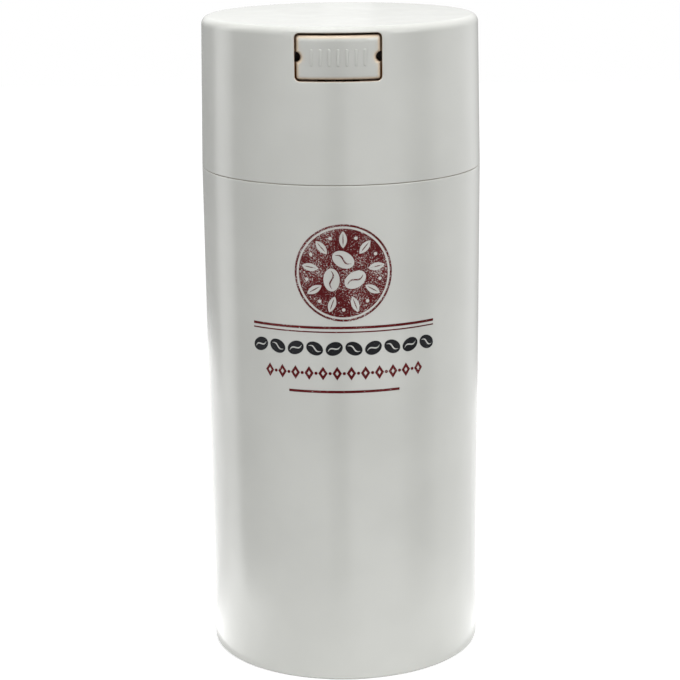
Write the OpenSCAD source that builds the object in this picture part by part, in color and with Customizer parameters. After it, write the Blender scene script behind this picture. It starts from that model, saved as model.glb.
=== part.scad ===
// Airtight coffee canister with a telescoping cap. A press button in the cap opens an air valve,
// so that the cap can be pushed down or pulled off against the lip seal.
// Units are millimetres. The foot stands on z = 0, and the button faces -Y.

/* [Overall] */
// Height from the foot to the top of the cap
total_h = 282; // [260:1:300]
// Outer diameter at the seam between body and cap
seam_d = 121; // [105:0.5:135]
// How much narrower the foot is than the seam, in diameter
foot_taper = 1.7; // [0:0.1:3]
// How much narrower the top of the cap is than the seam, in diameter, before its edge is rounded
top_taper = 2.4; // [0:0.1:3]
// Height of the cap above the seam
cap_h = 64.5; // [56:0.5:80]

/* [Outer body] */
// Side wall of the outer body
body_wall = 2.2; // [1.6:0.1:2.6]
// Floor of the outer body
body_floor = 2.4; // [1.6:0.1:4]
// Depth of the hollow under the floor
foot_recess = 1.5; // [0.8:0.1:3]
// Width of the ring that it stands on
foot_w = 4.5; // [3:0.1:10]
// Round on the bottom edge
base_edge_r = 1.2; // [0.6:0.1:2]
// Round on the rim that shows under the seam
rim_edge_r = 0.5; // [0.2:0.1:0.8]
// Width of the ledge that carries the inner vessel
ledge_w = 0.8; // [0.5:0.1:1.2]

/* [Inner vessel] */
// Side wall of the vessel
vessel_wall = 2; // [1.4:0.1:2.6]
// Floor of the vessel
vessel_floor = 2.2; // [1.4:0.1:4]
// Space between the two walls at the foot
wall_gap = 1.2; // [0.6:0.1:2]
// Round inside the vessel, where wall meets floor
vessel_corner_r = 6; // [3:0.5:12]
// Thickness of the flange that hangs the vessel in the body
vessel_flange_t = 2.2; // [1.4:0.1:4]
// Space between the two floors
floor_gap = 0.4; // [0.2:0.1:0.9]
// Space between the neck and the cap around it
neck_gap = 0.5; // [0.3:0.1:0.9]
// Space between the neck's top edge and the inner cap
neck_top_gap = 0.6; // [0.3:0.1:0.9]
// Round on the mouth's edges
mouth_edge_r = 0.7; // [0.3:0.1:0.9]

/* [Cap shell] */
// Side wall of the cap
cap_wall = 2.2; // [1.8:0.1:2.6]
// Top plate of the cap
cap_top_t = 2.2; // [1.6:0.1:2.4]
// Round on the top edge
cap_edge_r = 2; // [1:0.1:2.2]
// Open seam between cap and body
seam_gap = 0.3; // [0.2:0.1:0.8]
// Number of stop ribs on the inside wall
rib_count = 8; // [4:1:12]
// Angle from the front to the first stop rib, in degrees
rib_start = 40; // [36:1:60]
// Width of a stop rib
rib_w = 1.6; // [1:0.1:3]
// Depth of a stop rib
rib_d = 1.4; // [0.8:0.1:2.4]

/* [Window and button] */
// Width of the window in the cap
window_w = 35.6; // [32:0.1:38]
// Height of the window
window_h = 19.5; // [18:0.5:22]
// Distance from the top of the cap to the window
window_drop = 2.5; // [2.4:0.1:4]
// Round in the window's corners
window_corner_r = 2; // [1:0.1:4]
// Gap all round the button
button_gap = 0.7; // [0.4:0.1:0.9]
// Thickness of the button's face and skirt
button_wall = 1.8; // [1.4:0.1:2.4]
// Depth of the skirt behind the face
skirt_depth = 10; // [8:0.5:11]
// Travel of the button from rest to fully pressed
button_travel = 3; // [2:0.1:3.5]
// Radius of the air notches in the button's sides
notch_r = 2.1; // [1.2:0.1:2.4]
// Thickness of the wall round an air notch
notch_wall = 1.2; // [0.8:0.1:1.4]
// How far the button's stops reach past the window
stop_reach = 1.6; // [1:0.1:2.4]
// Thickness of the button's stops
stop_t = 1.8; // [1.2:0.1:2.4]
// Gap between the stops and the cap's wall
stop_gap = 0.35; // [0.2:0.05:0.8]
// Number of grip ribs on the button
grip_count = 7; // [3:1:9]
// Distance from one grip rib to the next
grip_pitch = 3.6; // [2.4:0.1:4]
// Width of a grip rib
grip_w = 1.2; // [0.8:0.1:2]
// Height of a grip rib
grip_h = 7; // [4:0.5:10]
// How far the grip ribs stand out
grip_relief = 0.3; // [0.1:0.05:0.5]
// Width of the tongue that pushes the lever
tongue_w = 12; // [8:0.5:14]
// Height of the tongue
tongue_t = 4; // [3:0.1:5]
// Height of the tongue's middle above the button's lower edge
tongue_up = 6.3; // [5:0.1:7]

/* [Inner cap] */
// Thickness of the flange that clips into the cap
lid_flange_t = 2; // [1.6:0.1:3]
// Height of the sill between the flange and the window
sill_h = 1.2; // [0.8:0.1:3]
// Depth of the piston below the flange
piston_drop = 9.8; // [9:0.1:14]
// Wall of the piston
piston_wall = 2; // [1.4:0.1:3]
// Floor of the piston
piston_floor = 2.2; // [1.6:0.1:3.2]
// Number of stiffening ribs on the piston's floor
floor_rib_count = 7; // [3:2:11]
// Height of the floor ribs
floor_rib_h = 3; // [1:0.5:5]
// Thickness of the floor ribs
floor_rib_t = 1.2; // [0.8:0.1:2]
// Distance of the floor ribs' inner ends from the axis
floor_rib_in = 14; // [10:1:20]
// Space between the piston and the neck's bore, for the seal
seal_space = 2.6; // [2.2:0.1:3.4]
// Depth of the snap bead on the flange's rim
snap_d = 0.5; // [0.3:0.05:0.7]
// Height of the snap bead
snap_h = 1; // [0.6:0.1:1.4]

/* [Lip seal] */
// Number of lips
lip_count = 3; // [2:1:3]
// Distance from one lip to the next
lip_pitch = 1.9; // [1.6:0.1:2]
// Thickness of the band that carries the lips
band_t = 1; // [0.8:0.1:1.3]
// Height of the band
band_h = 6.6; // [6.4:0.1:6.8]
// Height of the bead that the band rests on
seal_bead_h = 1.6; // [1:0.1:1.8]
// Space left between the lips and the bore
lip_gap = 0.25; // [0.15:0.05:0.4]

/* [Air valve] */
// Distance of the air hole from the outside of the seam
valve_inset = 18.5; // [17.5:0.5:20.5]
// Diameter of the air hole
air_hole_d = 6; // [4:0.5:6.5]
// Width of the seat round the air hole
seat_w = 1.6; // [1.2:0.1:2]
// Height of the seat
seat_h = 1; // [0.6:0.1:1.6]
// How far the pad reaches past the seat
pad_reach = 0.6; // [0.3:0.1:1]
// Thickness of the pad
pad_t = 2; // [1.4:0.1:2.6]
// Diameter of the stem that holds the pad in the lever
pad_stem_d = 2.3; // [1.8:0.1:2.6]

/* [Lever] */
// Distance of the lever's pin from the outside of the seam
pivot_inset = 29.5; // [28.5:0.5:30.5]
// Height of the pin above the piston's floor
pivot_h = 7.8; // [7.4:0.1:8.4]
// Radius of the nose that the button pushes
nose_r = 2; // [1.5:0.1:2.2]
// Thickness of the lever's arms
arm_t = 2.5; // [2:0.1:3]
// Width of the lever's arms
arm_w = 6.4; // [5:0.1:7]
// Length of the lever's hub
hub_w = 11.2; // [9:0.1:12]
// Radius of the lever's hub
hub_r = 2.6; // [2:0.1:3]
// Length of the tail behind the pin
tail_l = 8; // [7:0.5:10]
// Diameter of the pin
pin_d = 2; // [1.6:0.1:2.4]
// Width of the posts that hold the pin
post_w = 2.2; // [1.6:0.1:2.4]

/* [Button guide] */
// Thickness of the guide's walls
guide_wall = 1.6; // [1.2:0.1:2]
// Distance of the guide's back wall from the outside of the seam
guide_inset = 21.1; // [20.5:0.2:22.5]
// Height of the guide's back wall above the flange
guide_h = 17.2; // [16:0.2:19]
// Distance of the guide's screws from its outer sides
screw_inset = 5.5; // [4.5:0.5:7]
// Thickness of the guide's ears
ear_t = 1.7; // [1.2:0.1:2.2]
// Height of the bosses under the ears
boss_h = 5.5; // [5:0.1:6.5]
// Diameter of the guide's screws
screw_d = 2; // [1.6:0.1:2.4]
// Diameter of the screw heads
screw_head_d = 4.4; // [3.6:0.2:5]
// Height of the screw heads
screw_head_h = 1.5; // [1:0.1:2]
// Length of the screws under the head
screw_l = 5.4; // [4.6:0.2:5.8]

/* [Springs] */
// Outer diameter of the button springs
button_spring_d = 5; // [4:0.2:6]
// Wire of the button springs
button_wire_d = 0.6; // [0.4:0.05:0.7]
// Turns of the button springs
button_turns = 7; // [5:1:9]
// Distance of the button springs from the button's sides
spring_inset = 5.8; // [5.6:0.1:6.4]
// Length of the pegs that hold the button springs
peg_l = 3; // [1.5:0.5:4]
// Outer diameter of the valve spring
valve_spring_d = 4.8; // [4:0.2:5.4]
// Wire of the valve spring
valve_wire_d = 0.5; // [0.4:0.05:0.6]
// Turns of the valve spring
valve_turns = 4; // [3:1:5]

/* [Hidden] */
$fn = 96;

// Clearances
slip = 0.1;         // between parts that are pushed together and stay so
press = 0.02;       // round a pin or a screw that is held fast
running = 0.06;     // round the pin, in the lever
touch = 0.05;       // between a soft or sprung part and its seat
slide_gap = 0.4;    // between the button and the rails under it
side_gap = 0.5;     // beside the button's stops, the lever's hub and the guide
push_gap = 0.3;     // between the tongue and the lever's nose
coil_room = 0.4;    // between a spring's wire and the peg inside it
screw_play = 0.3;   // round a screw, in the ear that it holds
over = 1;           // how far a cutter runs past what it cuts

// Heights
seam_z = total_h - cap_h;
cap_bottom = seam_z + seam_gap;
roof_z = total_h - cap_top_t;
window_bottom = total_h - window_drop - window_h;
window_mid = window_bottom + window_h / 2;
lid_flange_top = window_bottom - sill_h;
lid_flange_bottom = lid_flange_top - lid_flange_t;
snap_z = lid_flange_top - lid_flange_t / 2;
neck_top = lid_flange_bottom - neck_top_gap;
piston_bottom = lid_flange_bottom - piston_drop;
well_z = piston_bottom + piston_floor;
body_floor_top = foot_recess + body_floor;
vessel_bottom = body_floor_top + floor_gap;
vessel_floor_top = vessel_bottom + vessel_floor;
ledge_z = seam_z - vessel_flange_t;

// Radii, with the draft of the outer walls
function between(a, b, t) = a + (b - a) * t;
seam_r = seam_d / 2;
foot_r = seam_r - foot_taper / 2;
top_r = seam_r - top_taper / 2;
front = max(seam_r, top_r) + over;
function body_r(z) = between(foot_r, seam_r, z / seam_z);
function cap_r(z) = between(seam_r, top_r, (z - seam_z) / cap_h);
function cap_inside_r(z) = cap_r(z) - cap_wall;
rebate_r = seam_r - body_wall + ledge_w;
neck_r = min(cap_inside_r(neck_top), cap_inside_r(seam_z)) - neck_gap;
bore_r = neck_r - vessel_wall;
vessel_base_r = body_r(vessel_bottom) - body_wall - wall_gap;
piston_r = bore_r - seal_space;
well_r = piston_r - piston_wall;
seal_r = piston_r + slip + band_t;
snap_r = cap_inside_r(snap_z) + snap_d;

// Distances of the mechanism from the axis
valve_y = seam_r - valve_inset;
pivot_y = seam_r - pivot_inset;
guide_back = seam_r - guide_inset;

// Button
button_w = window_w - 2 * button_gap;
button_h = window_h - 2 * button_gap;
button_bottom = window_bottom + button_gap;
button_corner_r = max(0.4, window_corner_r - button_gap);
skirt_back = cap_r(window_mid) - skirt_depth;
stop_out = window_w / 2 + stop_reach;
stop_inset = cap_wall + stop_gap;
tongue_z = button_bottom + tongue_up;
tongue_end = pivot_y + nose_r + push_gap;

// Button springs
spring_x = button_w / 2 - spring_inset;
spring_out = spring_x + button_spring_d / 2;
spring_back = guide_back + guide_wall;
spring_front = sqrt(pow(cap_r(window_mid) - button_wall, 2) - pow(spring_out, 2)) - coil_room;
spring_peg_r = button_spring_d / 2 - button_wire_d - coil_room;

// Lever and valve
pivot_z = well_z + pivot_h;
arm_bottom = pivot_z - arm_t / 2;
arm_top = pivot_z + arm_t / 2;
tail_y = tail_l - pivot_y;
post_in = hub_w / 2 + side_gap;
post_out = post_in + post_w;
seat_r = air_hole_d / 2 + seat_w;
pad_bottom = well_z + seat_h + slip;
stem_r = pad_stem_d / 2;
stem_lip = 0.8;
valve_peg_r = valve_spring_d / 2 - valve_wire_d - coil_room;
valve_peg_h = 1.4;

// Guide
rail_in = post_out + side_gap;
rail_top = button_bottom - slide_gap;
guide_in = stop_out + side_gap;
guide_out = guide_in + guide_wall;
boss_wall = 2.2;
ear_reach = 0.8;
driver_room = 0.9;
boss_r = screw_d / 2 + boss_wall;
ear_r = boss_r + ear_reach;
ear_z = well_z + boss_h;
screw_x = guide_out - screw_inset;
screw_y = guide_back - ear_r - driver_room;
screw_tip = ear_z + ear_t - screw_l;

// Square-cornered area less a quarter round, which rounds off a corner whose arc is about the origin
module corner_cut(r) {
    difference() {
        square(r + over);
        circle(r);
    }
}

// Cup outline in the r-z plane, with a drafted side that is upright beside its round lower corner
module cup_outline(r0, r1, z0, z1, corner) {
    side_r = between(r0, r1, corner / (z1 - z0));
    difference() {
        polygon([[0, z0], [side_r, z0], [side_r, z0 + corner], [r1, z1], [0, z1]]);
        translate([side_r - corner, z0 + corner]) mirror([0, 1]) corner_cut(corner);
    }
}

// Solid that follows the outside of the cap, drawn in by inset
module cap_cone(inset, z0, z1) {
    translate([0, 0, z0]) cylinder(h = z1 - z0, r1 = cap_r(z0) - inset, r2 = cap_r(z1) - inset);
}

// Wall that follows the outside of the cap, between two insets
module cap_layer(outer, inner, z0, z1) {
    difference() {
        cap_cone(outer, z0, z1);
        cap_cone(inner, z0 - over, z1 + over);
    }
}

// Prism that stands out to the front, between two distances from the axis
module to_front(from, to) {
    translate([0, -from, 0]) rotate([90, 0, 0]) linear_extrude(to - from) children();
}

// Box between two corners
module box(a, b) {
    translate(a) cube(b - a);
}

// The same shape on the left and on the right
module both_sides() {
    children();
    mirror([1, 0, 0]) children();
}

// Rounded rectangle about the origin
module rounded_rect(w, h, r) {
    square([w - 2 * r, h], center = true);
    square([w, h - 2 * r], center = true);
    for (x = [-1, 1], y = [-1, 1]) translate([x * (w / 2 - r), y * (h / 2 - r)]) circle(r);
}

// Bar along X, about a point of the middle plane
module cross_bar(r, w, y, z) {
    translate([-w / 2, y, z]) rotate([0, 90, 0]) cylinder(h = w, r = r);
}

// Bar along Y, between two distances in front of the axis
module front_bar(r, x, z, from, to) {
    translate([x, -from, z]) rotate([90, 0, 0]) cylinder(h = to - from, r = r);
}

// Upright bar
module post(r, x, y, z0, z1) {
    translate([x, y, z0]) cylinder(h = z1 - z0, r = r);
}

// Outer body: a tapered cup with a rebated rim and a ring to stand on
module outer_body() {
    side_r = body_r(base_edge_r);
    foot_in = side_r - base_edge_r - foot_w;
    rim_z = seam_z - rim_edge_r;
    rim_r = body_r(rim_z);
    color("gainsboro") rotate_extrude() difference() {
        polygon([
            [0, foot_recess], [foot_in - foot_recess, foot_recess], [foot_in, 0],
            [side_r, 0], [side_r, base_edge_r], [rim_r, rim_z], [rim_r, seam_z],
            [rebate_r, seam_z], [rebate_r, ledge_z], [body_r(ledge_z) - body_wall, ledge_z],
            [body_r(body_floor_top) - body_wall, body_floor_top], [0, body_floor_top]]);
        translate([side_r - base_edge_r, base_edge_r]) mirror([0, 1]) corner_cut(base_edge_r);
        translate([rim_r - rim_edge_r, rim_z]) corner_cut(rim_edge_r);
    }
}

// Inner vessel: the cup that holds the coffee, hung in the body by its flange; the cap slides over its neck
module inner_vessel() {
    edge_r = min(mouth_edge_r, vessel_wall / 2 - slip);
    color("whitesmoke") rotate_extrude() difference() {
        union() {
            cup_outline(vessel_base_r, neck_r, vessel_bottom, seam_z, vessel_corner_r + vessel_wall);
            polygon([
                [0, ledge_z], [rebate_r - slip, ledge_z], [rebate_r - slip, seam_z],
                [cap_inside_r(seam_z) - neck_gap, seam_z], [neck_r, neck_top - edge_r],
                [neck_r, neck_top], [0, neck_top]]);
        }
        cup_outline(vessel_base_r - vessel_wall, bore_r, vessel_floor_top, seam_z, vessel_corner_r);
        translate([0, seam_z - slip]) square([bore_r, neck_top - seam_z + over]);
        translate([neck_r - edge_r, neck_top - edge_r]) corner_cut(edge_r);
        translate([bore_r + edge_r, neck_top - edge_r]) mirror([1, 0]) corner_cut(edge_r);
    }
}

// Cap shell: skirt and top plate, with the button's window, a snap groove and ribs over the inner cap
module cap_shell() {
    edge_z = total_h - cap_edge_r;
    edge_r = cap_r(edge_z);
    rib_step = (360 - 2 * rib_start) / (rib_count - 1);
    rib_top = roof_z + cap_top_t / 2;
    color("gainsboro") difference() {
        union() {
            rotate_extrude() difference() {
                polygon([
                    [0, cap_bottom], [cap_r(cap_bottom), cap_bottom],
                    [edge_r, edge_z], [edge_r, total_h], [0, total_h]]);
                polygon([
                    [0, cap_bottom - over], [cap_inside_r(cap_bottom - over), cap_bottom - over],
                    [cap_inside_r(roof_z), roof_z], [0, roof_z]]);
                translate([0, snap_z - snap_h / 2 - slip]) square([snap_r + slip, snap_h + 2 * slip]);
                translate([edge_r - cap_edge_r, edge_z]) corner_cut(cap_edge_r);
            }
            for (i = [0:rib_count - 1]) rotate(rib_start + i * rib_step) intersection() {
                cap_layer(cap_wall / 2, cap_wall + rib_d, lid_flange_top, rib_top);
                box([-rib_w / 2, -front, lid_flange_top], [rib_w / 2, 0, rib_top]);
            }
        }
        to_front(seam_r / 2, front) translate([0, window_mid])
            rounded_rect(window_w, window_h, window_corner_r);
    }
}

// Inner cap: the piston that closes the mouth, with the seat of the air valve on its floor
module inner_cap() {
    rim_r = cap_inside_r(lid_flange_top) - slip;
    bead_r = seal_r - slip - touch;
    bead_top = piston_bottom + seal_bead_h;
    chamfer = seal_bead_h / 3;
    rib_step = 180 / (floor_rib_count - 1);
    color("saddlebrown") difference() {
        union() {
            rotate_extrude() difference() {
                polygon([
                    [0, piston_bottom], [bead_r - chamfer, piston_bottom], [bead_r, piston_bottom + chamfer],
                    [bead_r, bead_top], [piston_r, bead_top],
                    [piston_r, lid_flange_bottom], [rim_r, lid_flange_bottom],
                    [rim_r, snap_z - snap_h / 2], [snap_r, snap_z - snap_h / 6],
                    [snap_r, snap_z + snap_h / 6], [rim_r, snap_z + snap_h / 2],
                    [rim_r, lid_flange_top], [0, lid_flange_top]]);
                translate([0, well_z]) square([well_r, lid_flange_top - well_z + over]);
            }
            post(seat_r, 0, -valve_y, well_z - over, well_z + seat_h);
            post(valve_peg_r, 0, tail_y, well_z - over, well_z + valve_peg_h);
            both_sides() {
                // Posts for the lever's pin, and bosses for the guide's screws
                box([post_in, -pivot_y - hub_r, well_z - over], [post_out, -pivot_y + hub_r, pivot_z]);
                translate([post_in, -pivot_y, pivot_z]) rotate([0, 90, 0]) cylinder(h = post_w, r = hub_r);
                post(boss_r, screw_x, -screw_y, well_z - over, ear_z);
            }
            for (i = [0:floor_rib_count - 1]) rotate(90 + i * rib_step)
                box([-floor_rib_t / 2, -well_r - over, well_z - over],
                    [floor_rib_t / 2, -floor_rib_in, well_z + floor_rib_h]);
        }
        post(air_hole_d / 2, 0, -valve_y, piston_bottom - over, well_z + seat_h + over);
        cross_bar(pin_d / 2 + press, 2 * (post_out + over), -pivot_y, pivot_z);
        both_sides() post(screw_d / 2 + press, screw_x, -screw_y, screw_tip - slip, ear_z + over);
    }
}

// Lip seal: a soft ring round the piston, with lips that wipe the bore
module lip_seal() {
    seal_bottom = piston_bottom + seal_bead_h + slip;
    lip_root = 1;
    lip_tip = 0.4;
    lip_rise = 0.9;
    tip_r = bore_r - lip_gap;
    color("dimgray") rotate_extrude() {
        translate([piston_r + slip, seal_bottom]) square([band_t, band_h]);
        for (i = [0:lip_count - 1]) translate([0, seal_bottom + lip_root / 2 + i * lip_pitch])
            polygon([[seal_r - band_t / 2, 0], [seal_r, 0], [tip_r, lip_rise],
                     [tip_r, lip_rise + lip_tip], [seal_r, lip_root], [seal_r - band_t / 2, lip_root]]);
    }
}

// Button's outline in the front plane, drawn in by inset
module button_outline(inset) {
    translate([0, window_mid])
        rounded_rect(button_w - 2 * inset, button_h - 2 * inset, max(0.2, button_corner_r - inset));
}

// Curved face and skirt of the button
module button_cup() {
    difference() {
        intersection() {
            cap_cone(0, window_bottom, total_h);
            to_front(skirt_back, front) button_outline(0);
        }
        intersection() {
            cap_cone(button_wall, window_bottom - over, total_h + over);
            to_front(skirt_back - over, front) button_outline(button_wall);
        }
    }
}

// Stops that catch behind the cap's wall on both sides of the window
module button_stops() {
    top = button_bottom + button_h;
    root = (button_w - button_wall) / 2;
    intersection() {
        cap_layer(stop_inset, stop_inset + stop_t, button_bottom, top);
        both_sides() box([root, -front, button_bottom], [stop_out, -skirt_back, top]);
    }
}

// Raised ribs that a fingertip finds
module grip_ribs() {
    first_x = -(grip_count - 1) / 2 * grip_pitch;
    end_r = grip_w * 0.45;
    intersection() {
        cap_layer(-grip_relief, button_wall / 2, window_bottom, total_h);
        to_front(seam_r / 2, front) for (i = [0:grip_count - 1])
            translate([first_x + i * grip_pitch, window_mid]) rounded_rect(grip_w, grip_h, end_r);
    }
}

// Press button: it slides back through the window, and its tongue pushes the lever
module press_button() {
    notch_x = (button_w + button_gap) / 2;
    color("gainsboro") difference() {
        union() {
            button_cup();
            button_stops();
            grip_ribs();
            intersection() {
                cap_cone(button_wall / 2, window_bottom, total_h);
                union() {
                    box([-tongue_w / 2, -front, tongue_z - tongue_t / 2],
                        [tongue_w / 2, -tongue_end, tongue_z + tongue_t / 2]);
                    both_sides() {
                        front_bar(button_spring_d / 2, spring_x, window_mid, spring_front, front);
                        front_bar(spring_peg_r, spring_x, window_mid, spring_front - peg_l, front);
                        intersection() {
                            front_bar(notch_r + notch_wall, notch_x, window_mid, skirt_back, front);
                            to_front(skirt_back, front) button_outline(0);
                        }
                    }
                }
            }
        }
        // Air notches in the sides
        both_sides() {
            front_bar(notch_r, notch_x, window_mid, skirt_back - over, front);
            box([notch_x, -front, window_mid - notch_r],
                [stop_out + over, -skirt_back + over, window_mid + notch_r]);
        }
    }
}

// Button guide: rails under the button, walls beside it, shoulders that its stops meet when it is fully
// pressed, and a back wall that its springs push against
module button_guide() {
    back_top = lid_flange_top + guide_h;
    side_top = window_mid + tongue_t;
    bridge_z = tongue_z + tongue_t / 2 + side_gap;
    stop_back = sqrt(pow(cap_r(side_top) - stop_inset - stop_t, 2) - pow(stop_out, 2));
    shoulder = stop_back - button_travel - touch;
    color("sienna") difference() {
        union() {
            intersection() {
                cap_cone(cap_wall + side_gap, lid_flange_top, roof_z);
                both_sides() {
                    box([rail_in, -front, lid_flange_top], [guide_out, -guide_back, rail_top]);
                    box([guide_in, -front, lid_flange_top], [guide_out, -guide_back, side_top]);
                }
            }
            both_sides() {
                box([button_w / 2 + side_gap, -shoulder, lid_flange_top], [guide_out, -guide_back, side_top]);
                box([rail_in, -spring_back, lid_flange_top], [guide_out, -guide_back, back_top]);
                front_bar(spring_peg_r, spring_x, window_mid, guide_back, spring_back + peg_l);
                // Leg that reaches down into the well, and the ear on its foot
                box([screw_x - ear_r, -spring_back, ear_z], [screw_x + ear_r, -guide_back, rail_top]);
                box([screw_x - ear_r, -spring_back, ear_z], [screw_x + ear_r, -screw_y, ear_z + ear_t]);
                post(ear_r, screw_x, -screw_y, ear_z, ear_z + ear_t);
            }
            // Bridge over the tongue
            box([-rail_in - over, -spring_back, bridge_z], [rail_in + over, -guide_back, back_top]);
        }
        both_sides() post(screw_d / 2 + screw_play, screw_x, -screw_y, ear_z - over, ear_z + ear_t + over);
    }
}

// Guide screw: slotted, with a low cone for a head
module guide_screw(side) {
    head_z = ear_z + ear_t;
    head_r = screw_head_d / 2;
    slot_w = 0.6;
    color("silver") translate([side * screw_x, -screw_y, 0]) {
        post(screw_d / 2, 0, 0, screw_tip, head_z + touch);
        difference() {
            translate([0, 0, head_z]) cylinder(h = screw_head_h, r1 = head_r, r2 = head_r - slot_w / 2);
            box([-head_r - over, -slot_w / 2, head_z + screw_head_h / 2],
                [head_r + over, slot_w / 2, head_z + screw_head_h + over]);
        }
    }
}

// Valve lever: it rocks on its pin, so that the nose goes back and the pad lifts off its seat
module valve_lever() {
    color("ivory") difference() {
        union() {
            cross_bar(hub_r, hub_w, -pivot_y, pivot_z);
            box([-arm_w / 2, -valve_y, arm_bottom], [arm_w / 2, tail_y, arm_top]);
            post(arm_w / 2, 0, -valve_y, arm_bottom, arm_top);
            post(arm_w / 2, 0, tail_y, arm_bottom, arm_top);
            box([-arm_w / 2, -pivot_y - arm_t / 2, pivot_z], [arm_w / 2, -pivot_y + arm_t / 2, tongue_z]);
            cross_bar(nose_r, arm_w, -pivot_y, tongue_z);
        }
        cross_bar(pin_d / 2 + running, hub_w + 2 * over, -pivot_y, pivot_z);
        post(stem_r + touch, 0, -valve_y, arm_bottom - over, arm_top + over);
    }
}

// Lever pin, held in the two posts
module lever_pin() {
    color("silver") cross_bar(pin_d / 2, 2 * post_out, -pivot_y, pivot_z);
}

// Valve pad: a soft mushroom whose stem is pulled through the lever
module valve_pad() {
    color("dimgray") translate([0, -valve_y, 0]) {
        post(seat_r + pad_reach, 0, 0, pad_bottom, pad_bottom + pad_t);
        post(stem_r + stem_lip, 0, 0, pad_bottom, arm_bottom - touch);
        post(stem_r, 0, 0, pad_bottom, arm_top + 2 * touch);
        translate([0, 0, arm_top + touch]) cylinder(h = pad_stem_d / 2, r1 = stem_r + stem_lip, r2 = stem_r);
    }
}

// Coils: the wire is a tube with wire_sides sides, and its end turns are wound closer than the others
wire_sides = 6;
turn_rings = 12;
end_gap = 0.45;
function coil_rise(n, end_pitch, mid_pitch, turns) =
    end_pitch * (min(n, 1) + max(n - turns + 1, 0)) + mid_pitch * max(min(n, turns - 1) - 1, 0);
function coil_point(r, length, wire, turns, n) =
    let (end_pitch = wire + end_gap, mid_pitch = (length - wire - 2 * end_pitch) / (turns - 2))
    [r * cos(360 * n), r * sin(360 * n), wire / 2 + coil_rise(n, end_pitch, mid_pitch, turns)];
function coil_path(d, length, wire, turns) =
    [for (i = [0:turns * turn_rings]) coil_point((d - wire) / 2, length, wire, turns, i / turn_rings)];

// Least gap between two stretches of a coil that lie half a turn or more apart
function coil_gap(path, wire) =
    let (last = len(path) - 1)
    min([for (i = [0:last], j = [i + turn_rings / 2:1:last]) norm(path[i] - path[j])]) - wire;

// Ring of points round the wire at one point of the path
function wire_ring(path, wire, i) =
    let (
        ahead = path[min(i + 1, len(path) - 1)] - path[max(i - 1, 0)],
        along = ahead / norm(ahead),
        out = [path[i].x, path[i].y, 0] / norm([path[i].x, path[i].y, 0]),
        up = cross(out, along) / norm(cross(out, along)),
        side = cross(along, up))
    [for (k = [0:wire_sides - 1])
        path[i] + wire / 2 * (cos(360 * k / wire_sides) * side + sin(360 * k / wire_sides) * up)];

// Tube along a coil's path
module wire_coil(path, wire) {
    last_ring = (len(path) - 1) * wire_sides;
    points = [for (i = [0:len(path) - 1]) each wire_ring(path, wire, i)];
    sides = [for (i = [0:len(path) - 2]) for (k = [0:wire_sides - 1])
        let (a = i * wire_sides + k, b = i * wire_sides + (k + 1) % wire_sides)
        each [[a, b, b + wire_sides], [a, b + wire_sides, a + wire_sides]]];
    start_cap = [for (k = [1:wire_sides - 2]) [0, k + 1, k]];
    end_cap = [for (k = [1:wire_sides - 2]) [last_ring, last_ring + k, last_ring + k + 1]];
    polyhedron(points = points, faces = concat(sides, start_cap, end_cap));
}

// Button spring, on pegs between the guide's back wall and the button
module button_spring(side) {
    path = coil_path(button_spring_d, spring_front - spring_back - 2 * touch, button_wire_d, button_turns);
    echo(button_spring_least_gap = coil_gap(path, button_wire_d));
    color("lightsteelblue") translate([side * spring_x, -spring_back - touch, window_mid]) rotate([90, 0, 0])
        wire_coil(path, button_wire_d);
}

// Valve spring, between the piston's floor and the lever's tail
module valve_spring() {
    path = coil_path(valve_spring_d, arm_bottom - well_z - 2 * touch, valve_wire_d, valve_turns);
    echo(valve_spring_least_gap = coil_gap(path, valve_wire_d));
    color("lightsteelblue") translate([0, tail_y, well_z + touch]) wire_coil(path, valve_wire_d);
}

outer_body();
inner_vessel();
cap_shell();
inner_cap();
lip_seal();
press_button();
button_guide();
guide_screw(-1);  // guide_screw_left
guide_screw(1);  // guide_screw_right
button_spring(-1);  // button_spring_left
button_spring(1);  // button_spring_right
valve_lever();
lever_pin();
valve_pad();
valve_spring();
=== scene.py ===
import math

import bmesh
import bpy
from mathutils import Matrix, Vector
from mathutils.geometry import delaunay_2d_cdt


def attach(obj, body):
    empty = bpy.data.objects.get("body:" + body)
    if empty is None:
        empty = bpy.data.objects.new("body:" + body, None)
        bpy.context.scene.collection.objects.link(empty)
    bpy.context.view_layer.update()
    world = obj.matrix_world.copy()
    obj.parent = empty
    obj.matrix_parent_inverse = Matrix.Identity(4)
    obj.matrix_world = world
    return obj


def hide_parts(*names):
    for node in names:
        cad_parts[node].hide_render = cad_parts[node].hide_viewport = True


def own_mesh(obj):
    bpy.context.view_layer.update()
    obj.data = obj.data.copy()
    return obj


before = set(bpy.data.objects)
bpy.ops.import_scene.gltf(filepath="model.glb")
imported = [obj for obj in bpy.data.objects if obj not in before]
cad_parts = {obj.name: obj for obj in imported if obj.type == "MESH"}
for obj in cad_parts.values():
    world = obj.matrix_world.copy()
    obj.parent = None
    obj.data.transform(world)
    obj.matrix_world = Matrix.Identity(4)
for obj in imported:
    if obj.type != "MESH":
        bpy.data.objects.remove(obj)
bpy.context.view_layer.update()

# Camera.
# It stands where the photograph was taken from, a little above the cap and to the right of the button.
# Place, tilt and lens come from a fit to the rim, the seam, the foot and both sides of the canister.
mm = 0.001
camera_distance = 908.9 * mm
camera_height = 365.5 * mm
camera_round = math.radians(0.753)
camera_heading = math.radians(0.834)
camera_pitch = math.radians(14.087)
camera_roll = math.radians(-0.604)
camera = bpy.data.objects.new("camera", bpy.data.cameras.new("camera"))
bpy.context.scene.collection.objects.link(camera)
bpy.context.scene.camera = camera
camera.data.sensor_width = 36
camera.data.lens = 111.17
camera.location = (camera_distance * math.sin(camera_round),
                   -camera_distance * math.cos(camera_round), camera_height)
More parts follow.
